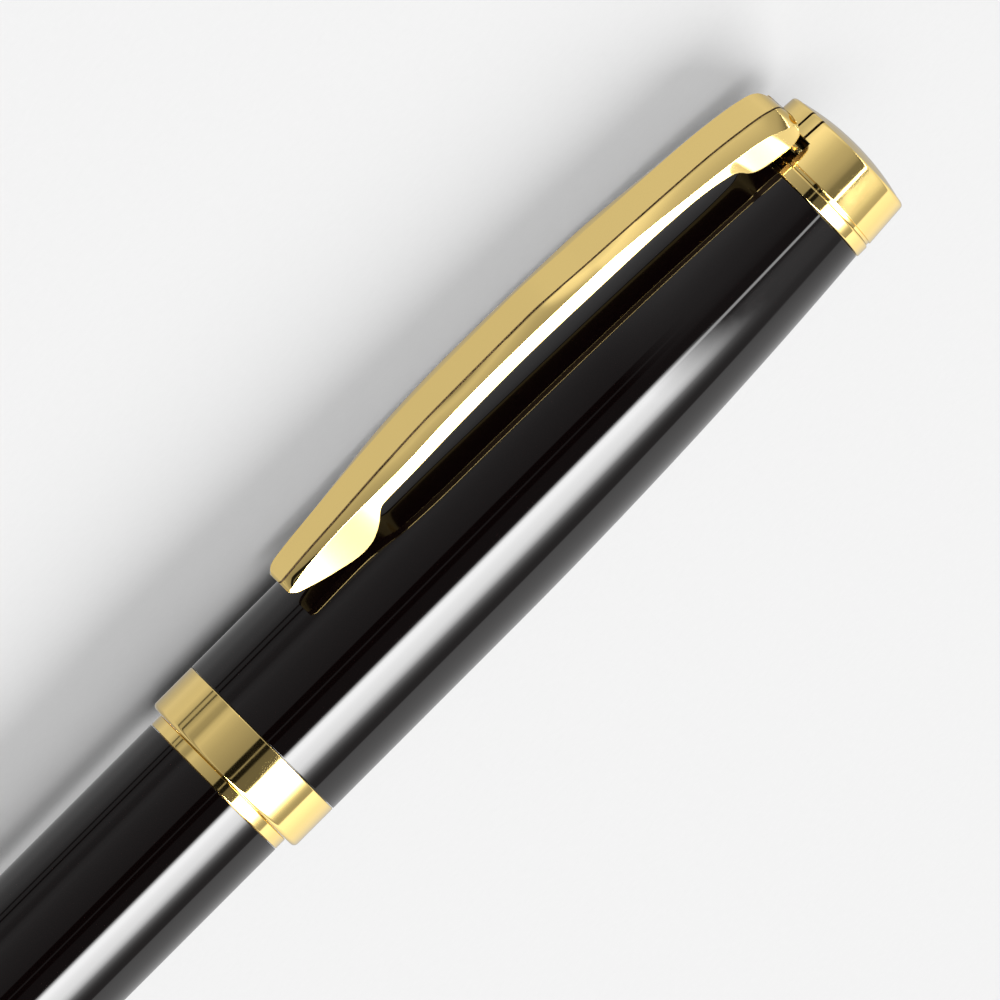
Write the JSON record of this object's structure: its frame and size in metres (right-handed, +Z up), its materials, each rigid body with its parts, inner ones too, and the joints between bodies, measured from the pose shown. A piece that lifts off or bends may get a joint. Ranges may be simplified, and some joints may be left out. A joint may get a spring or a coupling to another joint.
{
  "type": "rollerball pen",
  "caption": "Capped rollerball pen in black resin with gold trim, a hinged clip, a pull-off cap and a section that unscrews to change the refill.",
  "frame": {"origin": "centre of the tail's flat end face, on the pen's axis", "axes": "X along the pen: +X points out of the tail and the cap's crown is at -X; +Z up as the pen lies; the clip is on the -Y side, 28.5 degrees below the horizontal, so that clip and lip both meet a table"},
  "size_m": [0.1379, 0.0173, 0.0139],
  "materials": {
    "black_resin": "polished deep gloss",
    "gold_plate": "gold plated and mirror polished",
    "turned_brass": "turned, unpolished",
    "steel": "drawn and ground",
    "black_plastic": "moulded",
    "natural_plastic": "moulded, milky",
    "dark_rubber": "moulded, soft",
    "inked_fibre": "bonded fibre, soaked with ink"
  },
  "bodies": {
    "barrel": {"tail_cap": "gold_plate", "tail_ring": "gold_plate", "tail_screw": "steel", "barrel_tube": "black_resin", "barrel_ring": "gold_plate", "thread_bush": "turned_brass", "spring_seat": "black_plastic", "refill_spring": "steel"},
    "seal": {"section_washer": "dark_rubber"},
    "section": {"section_coupling": "turned_brass", "section_ring": "gold_plate", "section_grip": "black_resin", "section_liner": "turned_brass", "nose_ring": "gold_plate"},
    "refill": {"refill_plug": "black_plastic", "refill_tube": "steel", "ink_reservoir": "inked_fibre", "ink_feeder": "inked_fibre", "refill_cone": "black_plastic", "tip_socket": "steel"},
    "ball": {"writing_ball": "steel"},
    "cap": {"cap_lip_band": "gold_plate", "cap_clutch": "natural_plastic", "cap_tube": "black_resin", "inner_cap": "natural_plastic", "tip_seal": "dark_rubber", "crown_screw": "steel", "crown_washer": "steel", "cap_collar": "gold_plate", "cap_crown": "gold_plate", "clip_carrier": "turned_brass", "clip_pin": "steel", "clip_spring": "steel"},
    "clip": {"clip": "gold_plate"}
  },
  "joints": [
    {"name": "section_advance", "type": "slide", "parent": "barrel", "child": "seal", "axis": [-1, 0, 0], "range_m": [0, 0.0063]},
    {"name": "section_turn", "type": "hinge", "parent": "seal", "child": "section", "pos_m": [-0.077, 0, 0], "axis": [-1, 0, 0], "range_deg": [0, 1800]},
    {"name": "refill_push", "type": "slide", "parent": "section", "child": "refill", "axis": [1, 0, 0], "range_m": [0, 0.0008], "stiffness_N_per_m": 400, "deforming": ["refill_spring"]},
    {"name": "ball_roll", "type": "hinge", "parent": "refill", "child": "ball", "pos_m": [-0.12265, 0, 0], "axis": [0, 1, 0], "continuous": true},
    {"name": "cap_pull", "type": "slide", "parent": "section", "child": "cap", "axis": [-1, 0, 0], "range_m": [0, 0.06]},
    {"name": "clip_lift", "type": "hinge", "parent": "cap", "child": "clip", "pos_m": [-0.1346, -0.00369, -0.002], "axis": [0, 0.4772, -0.8788], "range_deg": [0, 4], "stiffness_Nm_per_rad": 2}
  ],
  "couplings": [
    {"joint": "section_advance", "follows": "section_turn", "m_per_rad": 0.00019894}
  ]
}
